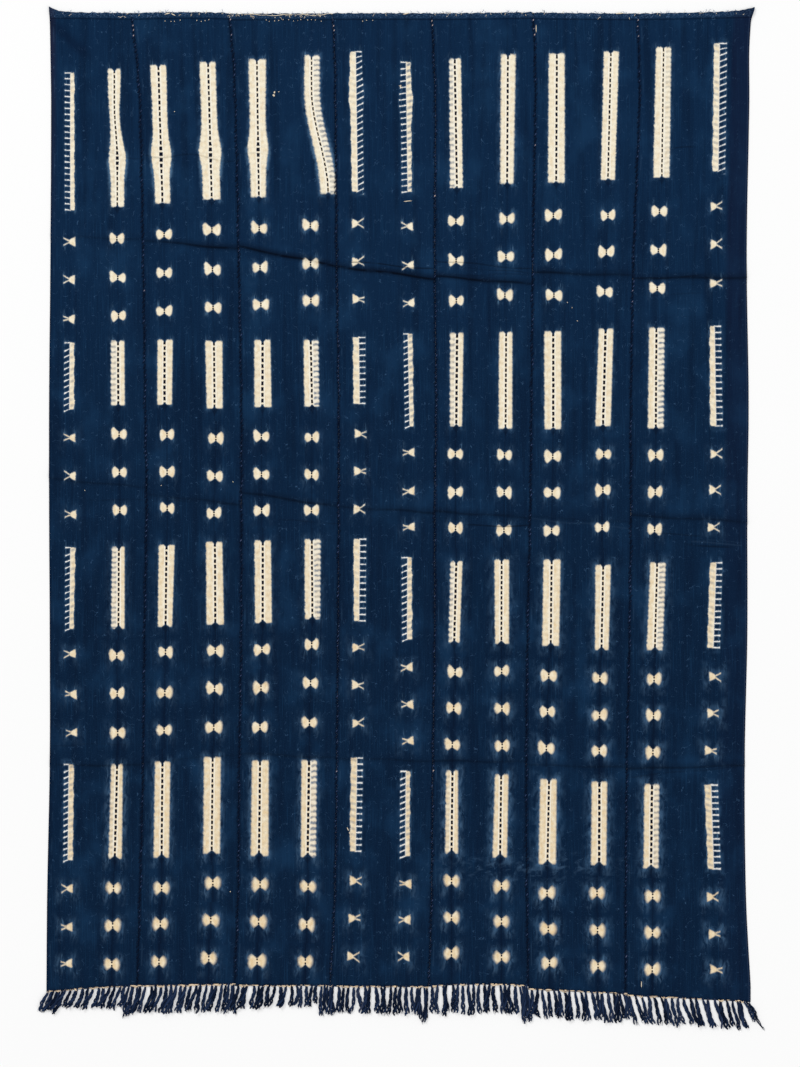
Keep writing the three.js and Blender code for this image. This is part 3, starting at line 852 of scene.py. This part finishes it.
    # The creases, the seams and the hem
    unbroken = noise(tree, x / 30.0, y / 10.0, 61.0, 2.0).step(0.25, 0.5)
    spare = 1.0 - cream * 0.85
    sharp = 1.0 - 0.35 * x.step(240.0, 260.0)
    # Painted shade of the sharp creases: a thin dark line on each crease and a soft dark band along it,
    # weaker over the cream.
    crease_shadow_line = crease.near(-0.8, 3.2) * crease_shade * unbroken * spare * sharp
    colour = stain(colour, crease_shadow_line, 3, 7, 18)
    colour = stain(colour, crease.near(1.0, 9.0) * crease_shade * 0.6 * spare, 4, 12, 28)
    # Painted shade along the faint creases, and a painted pale line of light where their strength is below
    # 0.
    on_faint = faint.near(0.0, 2.2)
    colour = stain(colour, on_faint * faint_shade_and_light.most(0.0) * unbroken, 4, 9, 22)
    colour = stain(colour, on_faint * (faint_shade_and_light * -1.0).most(0.0), 90, 120, 150)
    colour = stain(colour, from_left.near(0.0, 4.6) * 0.5, 6, 15, 35)
    colour = stain(colour, from_right.near(0.0, 4.6) * 0.5, 6, 15, 35)
    beside_seam = from_left.near(5.5, 1.6) * noise(tree, 1.0, y / 40.0, 81.0, 2.0).step(0.5, 0.62)
    colour = stain(colour, beside_seam * 0.12, 70, 104, 138)
    fray = noise(tree, x / 3.0, y / 1.2, 71.0, 4.0)
    colour = stain(colour, from_top.step(9.0, 7.0) * fray.step(0.42, 0.7) * 0.38, 70, 98, 128)
    # Painted shade: a dark line just under the rolled hem's lower edge.
    colour = stain(colour, from_top.near(9.6, 1.6) * 0.5, 5, 12, 28)
    tree.links.new(colour, shader.inputs["Base Color"])

    turn = 2 * np.pi / WEAVE_REPEAT
    weft = (x * turn).work("SINE") * (y * turn).work("SINE")
    slub = noise(tree, x / 0.6, y / 3.0, 41.0, 3.0) + noise(tree, x / 3.0, y / 0.6, 51.0, 3.0)
    add_bump(tree, shader, weft * 0.3 + slub * 0.6, 0.5, 0.0004)
    return material


CLOTH = indigo_cloth()
STRIPS = len(STRIP_TOPS)
for strip in range(STRIPS):
    low, high, across = strip_surface(strip)
    points, faces = closed_sheet(low, high)
    piece = put_mesh("woven_strip_%d" % (strip + 1), points, faces)
    draw_pattern(piece, strip)
    draw_creases(piece, strip, across)
    piece.data.materials.append(CLOTH)
    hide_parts("strip_%d" % (strip + 1))
    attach(piece, "root")


# The overcast seams
# Dark blue cotton thread goes over and over the two selvedges at each seam, with a slanted stitch
# every 7 or 8 mm, and looks like a twisted cord lying in the join.

STITCH_PITCH = 7.6
STITCH_RADIUS = 0.75
STITCH_STEPS = 8
STITCH_SIDES = 5
# Above this height more of the seam stitches get a painted pale glint.
MORE_GLINTS_ABOVE = 735


def tubes(paths, radii, sides):
    """Round tubes carried along paths, as points and faces.

    Formula: point = path + radius (side cos q + up sin q), with side level and square to the path, up
    square to both, and q from 0 to a full turn.
    """
    count, steps = paths.shape[:2]
    tangent = np.gradient(paths, axis=1)
    tangent /= np.linalg.norm(tangent, axis=2, keepdims=True) + 1e-9
    side = np.cross(tangent, np.array([0.0, 0.0, 1.0]))
    side /= np.linalg.norm(side, axis=2, keepdims=True) + 1e-9
    up = np.cross(side, tangent)
    q = np.arange(sides) * 2 * np.pi / sides
    ring = side[:, :, None] * np.cos(q)[:, None] + up[:, :, None] * np.sin(q)[:, None]
    points = paths[:, :, None] + radii[:, :, None, None] * ring
    number = np.arange(count * steps * sides).reshape(count, steps, sides)
    after = np.roll(number, -1, axis=2)
    walls = np.stack([number[:, :-1], number[:, 1:], after[:, 1:], after[:, :-1]], -1).reshape(-1, 4)
    starts = number[:, 0, :]
    ends = number[:, -1, ::-1]
    return points.reshape(-1, 3), [walls, starts, ends]


def surface_height(strip, x, y):
    """Height of a strip's upper face at x, y."""
    left, right = seams_beside(strip, y)
    u = np.clip((x - left) / (right - left), 0, 1)
    return cloth_lift(strip, u, y) + CLOTH_THICKNESS


def thread_material(name, colours, roughness):
    """Yarn whose colour follows the piece's own shade: 0, 0.5 and 1 are the three colours given."""
    material, tree, shader = new_material(name, roughness)
    shade = attribute(tree, "shade")[0]
    x, y, z = place_in_mm(tree)
    fibre = noise(tree, x / 0.5, y / 2.0, z / 0.5, 3.0)
    first = mix(shade.step(0.0, 0.5), linear(*colours[0]), linear(*colours[1]))
    colour = mix(shade.step(0.5, 1.0), first, linear(*colours[2]))
    colour = stain(colour, fibre.step(0.5, 0.8) * 0.3, 58, 78, 106)
    tree.links.new(colour, shader.inputs["Base Color"])
    add_bump(tree, shader, fibre, 0.4, 0.0003)
    return material


def set_shade(piece, values):
    """Stores one number for each point as the piece's shade."""
    layer = piece.data.attributes.new("shade", "FLOAT_VECTOR", "POINT")
    layer.data.foreach_set("vector", np.repeat(values, 3).astype(np.float32))


SEAM_THREAD = thread_material("overcast sewing thread", [(9, 19, 40), (56, 72, 108), (216, 194, 180)], 0.9)
for seam in range(1, STRIPS):
    top = STRIP_TOPS[seam - 1][2] - 8
    foot = STRIP_FEET[seam - 1][2] + 3
    count = int((top - foot) / STITCH_PITCH)
    at = top - (np.arange(count) + 0.5) * STITCH_PITCH + chance.uniform(-1.2, 1.2, count)
    s = np.linspace(-1, 1, STITCH_STEPS)
    slope = chance.uniform(2.6, 4.2, count)
    y = at[:, None] + s * slope[:, None]
    sway = 0.9 * np.sin(at / 11 + seam) + chance.uniform(-0.5, 0.5, count)
    x = seam_place(SEAM_LINES[seam], y) + s * 2.2 + sway[:, None]
    bed = surface_height(seam - 1, x - 1.0, y)
    z = bed + 0.1 + 0.7 * (1 - s**4)
    paths = np.stack([x, y, z], -1)
    radii = STITCH_RADIUS * (0.5 + 0.5 * (1 - s**6)) * chance.uniform(0.8, 1.15, (count, 1))
    points, faces = tubes(paths, radii, STITCH_SIDES)
    piece = put_mesh("overcast_seam_%d" % seam, points, faces)
    # Painted highlights on the seam thread: a pale blue glint near the middle of many stitches, a rare
    # pinkish one, and more of them near the top.
    glint = chance.uniform(-0.15, 0.5, count).clip(0, 1) + 0.5 * (chance.random(count) > 0.985)
    glint = np.where(at > MORE_GLINTS_ABOVE, glint + 0.5 * (chance.random(count) > 0.45), glint)
    shade = glint[:, None] * hump(s, 0.2, 0.45)
    set_shade(piece, np.repeat(shade.reshape(-1), STITCH_SIDES))
    piece.data.materials.append(SEAM_THREAD)
    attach(piece, "root")


# The tassels
# The warp ends left at the foot were gathered in bunches, and each bunch was twisted and left to fray
# at its tip. Here each has three plies. Between the roots, bits of undyed yarn make small cream knots.

# For each strip: how many tassels, the height of the tips at left and right, and how far they lean there.
FRINGES = [
    (12, -739, -744, -12, -9), (17, -748, -745, -10, -9), (16, -742, -736, -9, -2), (17, -747, -751, -2, 0),
    (17, -748, -749, -1, 3), (16, -754, -762, 4, 8), (18, -763, -771, 8, 13),
]
# Bunches at the seams and the outer corners: strip, root x, root width, tip x, tip width and tip y.
TUFTS = [
    (0, -525.5, 24, -538.5, 24, -750), (0, -408, 14, -416, 14, -757), (1, -261, 16, -263, 23, -750),
    (2, -115, 17, -113, 25, -753), (3, 34, 13, 33, 11, -764), (4, 184, 15, 190, 12, -763),
    (5, 333, 15, 341, 23, -762), (6, 511, 8, 523.5, 6, -776), (6, 520, 6, 536, 6, -764),
    (6, 527, 2.8, 547.5, 2.4, -773),
]
BUNCHED_PITCH = 3.8
BUNCHED_WIDTH = 5.5
PLIES = 3
PLY_STEPS = 13
PLY_SIDES = 5
TIP_HAIRS = 4
HAIR_SIDES = 3
HAIR_RADIUS = 0.45
KNOT_STEPS = 7
KNOTS = 32
# The second strip has this many more.
MORE_KNOTS = {1: 14}


def tassel_list(strip):
    """Root x, root y, tip x, tip y and width of each tassel of a strip."""
    count, tip_left, tip_right, lean_left, lean_right = FRINGES[strip]
    foot_y = STRIP_FEET[strip]
    left = SEAM_LINES[strip][-1] + 1
    right = SEAM_LINES[strip + 1][-1] - 1
    rows = []
    for own, root_x, root_width, tip_x, tip_width, tip_y in TUFTS:
        if own != strip:
            continue
        u = (root_x - left) / (right - left)
        bunched = max(1, round(root_width / BUNCHED_PITCH))
        for k in range(bunched):
            shift = (k - (bunched - 1) / 2) / bunched
            rows.append((root_x + shift * root_width, bowed(foot_y, u), tip_x + shift * tip_width,
                         tip_y + chance.uniform(0, 7) * (bunched > 1), min(BUNCHED_WIDTH, root_width)))
        if root_x < (left + right) / 2:
            left = root_x + root_width / 2
        else:
            right = min(right, root_x - root_width / 2)
    for k in range(count):
        u = (k + 0.5) / count
        x = left + (right - left) * u + chance.uniform(-0.6, 0.6)
        root_u = (x - SEAM_LINES[strip][-1]) / (SEAM_LINES[strip + 1][-1] - SEAM_LINES[strip][-1])
        lean = lean_left + (lean_right - lean_left) * u + chance.normal(0, 1.8)
        tip_y = tip_left + (tip_right - tip_left) * u + chance.normal(0, 1.4)
        rows.append((x, bowed(foot_y, root_u), x + lean, tip_y, chance.uniform(5.4, 7.2)))
    return np.array(sorted(rows))


def joined(parts):
    """One set of points and faces from several, each one's corner numbers counted on from the last."""
    points = np.concatenate([part_points for part_points, _ in parts])
    before = np.cumsum([0] + [len(part_points) for part_points, _ in parts])
    return points, [group + first for (_, groups), first in zip(parts, before) for group in groups]


TASSEL_YARN = thread_material("twisted warp ends", [(10, 20, 40), (34, 50, 80), (238, 214, 180)], 0.95)
for strip in range(STRIPS):
    rows = tassel_list(strip)
    t = np.linspace(0, 1, PLY_STEPS)
    paths, radii, shades = [], [], []
    hair_paths, hair_shades = [], []
    for root_x, root_y, tip_x, tip_y, width in rows:
        bend = chance.normal(0, 1.8)
        wave = chance.normal(0, 0.8)
        start_turn = chance.uniform(0, 2 * np.pi)
        turns = chance.uniform(1.0, 1.9)
        tint = chance.random() * 0.35
        pinch = 0.45 + 0.55 * ease(t, 0, 0.35)
        fan = 1 + 0.7 * ease(t, 0.4, 1.0)
        for ply in range(PLIES):
            angle = start_turn + ply * 2 * np.pi / PLIES + turns * 2 * np.pi * t
            off = width * 0.27 * pinch * fan
            reach = (tip_y - root_y - 3) * chance.uniform(0.9, 1.06)
            x = root_x + (tip_x - root_x) * t**1.1 + bend * np.sin(np.pi * t) + wave * np.sin(2 * np.pi * t)
            y = (root_y + 3) + reach * t
            z = 1.5 + 0.8 * off + 0.7 * off * np.sin(angle) - 0.8 * ease(t, 0.3, 1.0)
            radius = width * 0.26 * (0.55 + 0.45 * ease(t, 0, 0.3)) * (1 - 0.35 * ease(t, 0.93, 1.0))
            paths.append(np.stack([x + off * np.cos(angle), y, np.maximum(z, radius + 0.05)], -1))
            radii.append(radius)
            # One ply of each tassel is a little lighter: a painted highlight along the twist.
            shades.append(tint + 0.2 * (ply == 1))
        s = np.linspace(0, 1, KNOT_STEPS)
        for _ in range(TIP_HAIRS):
            reach = chance.uniform(2.5, 6)
            hair_x = tip_x + chance.uniform(-0.6, 0.6) * width
            x = hair_x + (tip_x - root_x) * 0.1 * s + chance.normal(0, 1.3) * s**2
            y = tip_y + 3 - reach * s
            z = 1.4 + chance.uniform(-0.6, 1.0) * np.sin(np.pi * s)
            hair_paths.append(np.stack([x, y, z], -1))
            hair_shades.append(tint + 0.2)
    plies = tubes(np.array(paths), np.array(radii), PLY_SIDES)
    hair_radii = np.full((len(hair_paths), KNOT_STEPS), HAIR_RADIUS) * (1 - 0.6 * s)
    frayed = tubes(np.array(hair_paths), hair_radii, HAIR_SIDES)

    knots = KNOTS + MORE_KNOTS.get(strip, 0)
    knot_x = chance.uniform(rows[:, 0].min() - 2, rows[:, 0].max() + 2, knots)
    share = (knot_x - SEAM_LINES[strip][-1]) / (SEAM_LINES[strip + 1][-1] - SEAM_LINES[strip][-1])
    knot_y = bowed(STRIP_FEET[strip], share)
    reach = chance.uniform(1.5, 9.0, knots)[:, None]
    x = knot_x[:, None] + (s - 0.5) * reach + chance.uniform(-0.6, 0.6, (knots, 1)) * np.sin(2 * np.pi * s)
    y = knot_y[:, None] + 1.4 - chance.uniform(-0.5, 2.4, (knots, 1)) * np.sin(np.pi * s)
    z = 1.9 + chance.uniform(0.8, 1.8, (knots, 1)) * np.sin(np.pi * s)
    thick = chance.uniform(0.55, 1.25, (knots, 1)) * (0.6 + 0.4 * np.sin(np.pi * s))
    cream_knots = tubes(np.stack([x, y, z], -1), thick, PLY_SIDES)
    points, faces = joined([plies, frayed, cream_knots])
    shades = np.concatenate([
        np.repeat(shades, PLY_STEPS * PLY_SIDES),
        np.repeat(hair_shades, KNOT_STEPS * HAIR_SIDES),
        np.repeat(chance.uniform(0.7, 1.0, knots), KNOT_STEPS * PLY_SIDES),
    ])
    piece = put_mesh("tassels_%d" % (strip + 1), points, faces)
    set_shade(piece, shades)
    piece.data.materials.append(TASSEL_YARN)
    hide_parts("fringe_%d" % (strip + 1))
    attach(piece, "root")


# The hem's frayed threads
# Where the raw edge was rolled over, short loops and ends of paler thread stand out along the top, and
# a few long cream threads lie on the hem.

FRAY_STEPS = 7
FRAY_SIDES = 4
FRAY_RADIUS = 0.28
PALEST_STRIP = 2
HEM_ENDS = (-532, 528)
hairs = 800
place = chance.uniform(*HEM_ENDS, hairs)
owner = np.clip(np.searchsorted(SEAM_LINES[:, 0], place) - 1, 0, STRIPS - 1)
share = (place - SEAM_LINES[owner, 0]) / (SEAM_LINES[owner + 1, 0] - SEAM_LINES[owner, 0])
edge_y = np.array([bowed(STRIP_TOPS[k], u) for k, u in zip(owner, share)])
s = np.linspace(0, 1, FRAY_STEPS)
x = place[:, None] + s * chance.normal(0, 2.5, (hairs, 1)) + 0.6 * np.sin(s * 9 + place[:, None])
y = edge_y[:, None] - 6 * chance.random((hairs, 1)) + s * chance.uniform(-4, 5, (hairs, 1))
z = 2.9 + 0.7 * np.sin(np.pi * s) * chance.uniform(0.3, 1.3, (hairs, 1)) + 0.2
points, faces = tubes(np.stack([x, y, z], -1), np.full((hairs, FRAY_STEPS), FRAY_RADIUS), FRAY_SIDES)
piece = put_mesh("hem_frays", points, faces)
pale_place = (owner == PALEST_STRIP) & (chance.random(hairs) < 0.5) | (chance.random(hairs) < 0.06)
shade = np.where(pale_place, 0.95, chance.uniform(0.2, 0.6, hairs))
set_shade(piece, np.repeat(shade, FRAY_STEPS * FRAY_SIDES))
HEM_YARN = thread_material("frayed hem thread", [(30, 52, 84), (74, 106, 146), (236, 222, 196)], 0.95)
piece.data.materials.append(HEM_YARN)
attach(piece, "root")

# Loose bits of undyed thread: x, y, how far each runs across and up, and its thickness, in millimetres.
THREAD_BITS = [
    (-196, 646, 3, -2, 1.6), (-194, 648, 1, 3, 1.2), (-188, 650, 2, 1, 0.5), (-4, 660, 5, -4, 0.6),
    (-3, 658, 2, 3, 0.7), (-257, 58, 1, 0, 0.9), (-261, -565, 1, 1, 0.8), (-127, 447, 1, 0, 0.7),
    (3, 484, 12, 1, 0.6), (-346, 620, 1, 1, 0.6), (-83, -467, 2, -5, 0.7), (-80, -474, 2, -4, 0.6),
    (-77, -480, 1, -3, 0.6), (364, -701, 0, -9, 0.6), (204, 752, 0, -11, 0.6), (251, 331, 1, -1, 0.6),
    (258, 322, 1, 1, 0.5), (266, 303, 1, -1, 0.6), (-482, 45, 1, 0, 0.6), (-366, 52, 1, 1, 0.5),
    (-240, 768, 36, -1, 0.5), (-205, 766, 42, 2, 0.5), (-165, 768, 40, -2, 0.45), (-130, 767, 26, 2, 0.5),
    (2, 768, 9, 2, 0.9), (325, 769, 11, 1, 0.9), (-360, 768, 8, 2, 0.9), (-350, 769, 6, -3, 0.8),
    (-298, 769, 2, 5, 0.6),
]
# The stretches of the hem's lower edge that show its cream stitches, and their pitch and height.
HEM_STITCHES = ((-360, -334), (-314, -292), (-208, -117), (-60, -40))
HEM_STITCH_PITCH = 7.0
HEM_STITCH_HEIGHT = 758.5
HEM_FOOT = 758
BIT_STEPS = 10
BIT_SIDES = 6
for start, end in HEM_STITCHES:
    for x in np.arange(start, end, HEM_STITCH_PITCH):
        height = HEM_STITCH_HEIGHT + chance.uniform(-2.0, 1.2)
        THREAD_BITS.append((x + chance.uniform(-2.5, 2.5), height, chance.uniform(-0.8, 1.4), 0.6, 0.7))
bits = np.array(THREAD_BITS)
bit_x, bit_y, bit_across, bit_up, bit_thick = (bits[:, column:column + 1] for column in range(5))
s = np.linspace(0, 1, BIT_STEPS)
x = bit_x + bit_across * s
y = bit_y + bit_up * s + np.where(np.abs(bit_across) > 20, 0.7, 0.1) * np.sin(s * 8 + bit_x)
z = np.zeros_like(x)
for strip in range(STRIPS):
    left, right = seams_beside(strip, y)
    own = (x >= left) & (x <= right)
    z = np.where(own, surface_height(strip, x, y), z)
z = z + np.where(y > HEM_FOOT, 1.5, 0.2) + 0.2 * np.sin(np.pi * s)
points, faces = tubes(np.stack([x, y, z], -1), bit_thick * (0.5 + 0.5 * np.sin(np.pi * s)), BIT_SIDES)
piece = put_mesh("loose_thread_bits", points, faces)
set_shade(piece, np.full(len(points), 1.0))
piece.data.materials.append(HEM_YARN)
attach(piece, "root")


# The floor, the light and the camera
# The cloth lies on a plain white floor under soft light, and the camera looks straight down at it.

FLOOR_REACH = 4
CAMERA_PLACE = (-0.0028, -0.0205, 3.829)
floor_corners = np.array([(-1, -1, 0), (1, -1, 0), (1, 1, 0), (-1, 1, 0)]) * FLOOR_REACH
floor_mesh = bpy.data.meshes.new("floor")
floor_mesh.from_pydata(floor_corners.tolist(), [], [(0, 1, 2, 3)])
floor = bpy.data.objects.new("floor", floor_mesh)
floor_material = bpy.data.materials.new("white floor")
floor_material.use_nodes = True
floor_shader = floor_material.node_tree.nodes["Principled BSDF"]
floor_shader.inputs["Base Color"].default_value = (0.6, 0.6, 0.6, 1)
floor_shader.inputs["Emission Color"].default_value = (1, 1, 1, 1)
floor_shader.inputs["Emission Strength"].default_value = 0.38
floor_shader.inputs["Roughness"].default_value = 1.0
floor_shader.inputs["Specular IOR Level"].default_value = 0.0
floor_mesh.materials.append(floor_material)
bpy.context.scene.collection.objects.link(floor)


def soft_light(name, place, aim, width, power):
    """A square soft lamp at a place, turned to its aim."""
    lamp = bpy.data.lights.new(name, "AREA")
    lamp.size = width
    lamp.energy = power
    holder = bpy.data.objects.new(name, lamp)
    holder.location = place
    direction = np.array(aim) - np.array(place)
    holder.rotation_euler = (
        float(np.arctan2(np.hypot(direction[0], direction[1]), -direction[2])),
        0.0,
        float(np.arctan2(direction[1], direction[0]) - np.pi / 2),
    )
    bpy.context.scene.collection.objects.link(holder)


soft_light("key light", (-5.0, 7.5, 9.0), (0, 0, 0), 5.0, 680)
soft_light("fill light", (7.0, -5.5, 10.0), (0, 0, 0), 6.0, 410)
world = bpy.data.worlds.new("studio")
world.use_nodes = True
world.node_tree.nodes["Background"].inputs["Color"].default_value = (1, 1, 1, 1)
world.node_tree.nodes["Background"].inputs["Strength"].default_value = 0.55
bpy.context.scene.world = world
bpy.context.scene.view_settings.view_transform = "Standard"

camera = bpy.data.cameras.new("camera")
camera.lens = 85
camera.sensor_width = 36
camera_holder = bpy.data.objects.new("camera", camera)
camera_holder.location = CAMERA_PLACE
bpy.context.scene.collection.objects.link(camera_holder)
bpy.context.scene.camera = camera_holder
